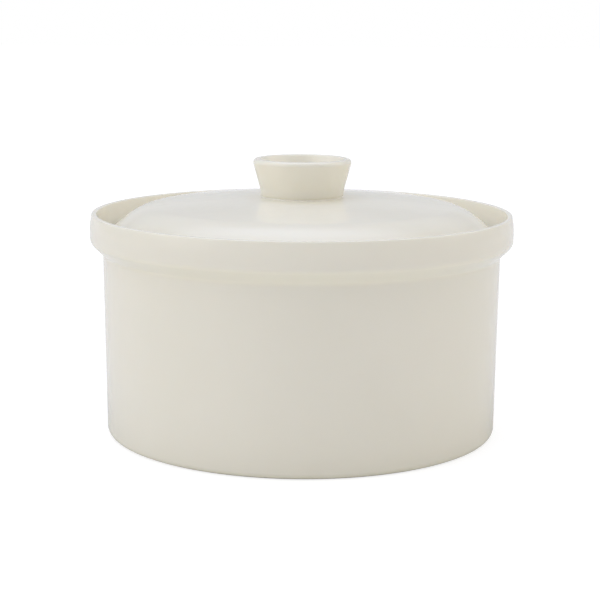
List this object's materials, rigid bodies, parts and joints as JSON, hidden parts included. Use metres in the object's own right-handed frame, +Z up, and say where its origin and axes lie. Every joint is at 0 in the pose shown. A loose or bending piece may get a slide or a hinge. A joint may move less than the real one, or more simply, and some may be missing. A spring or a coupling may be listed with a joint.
{
  "type": "covered casserole dish",
  "caption": "Round glazed ceramic casserole: straight-sided dish with a band round its mouth, a low domed lid that sits down inside the rim, and a flared hollow knob.",
  "frame": {"origin": "on the dish's axis, on the surface that the dish stands on", "axes": "+Z up along the axis of the dish, lid and knob; the shape is round, so X and Y are free"},
  "size_m": [0.2148, 0.2148, 0.1392],
  "materials": {
    "glaze": "gloss"
  },
  "bodies": {
    "dish": {"dish": "glaze"},
    "lid": {"lid": "glaze", "knob": "glaze"}
  },
  "joints": [
    {"name": "lid_lift", "type": "slide", "parent": "dish", "child": "lid", "axis": [0, 0, 1], "range_m": [0, 0.2]}
  ]
}
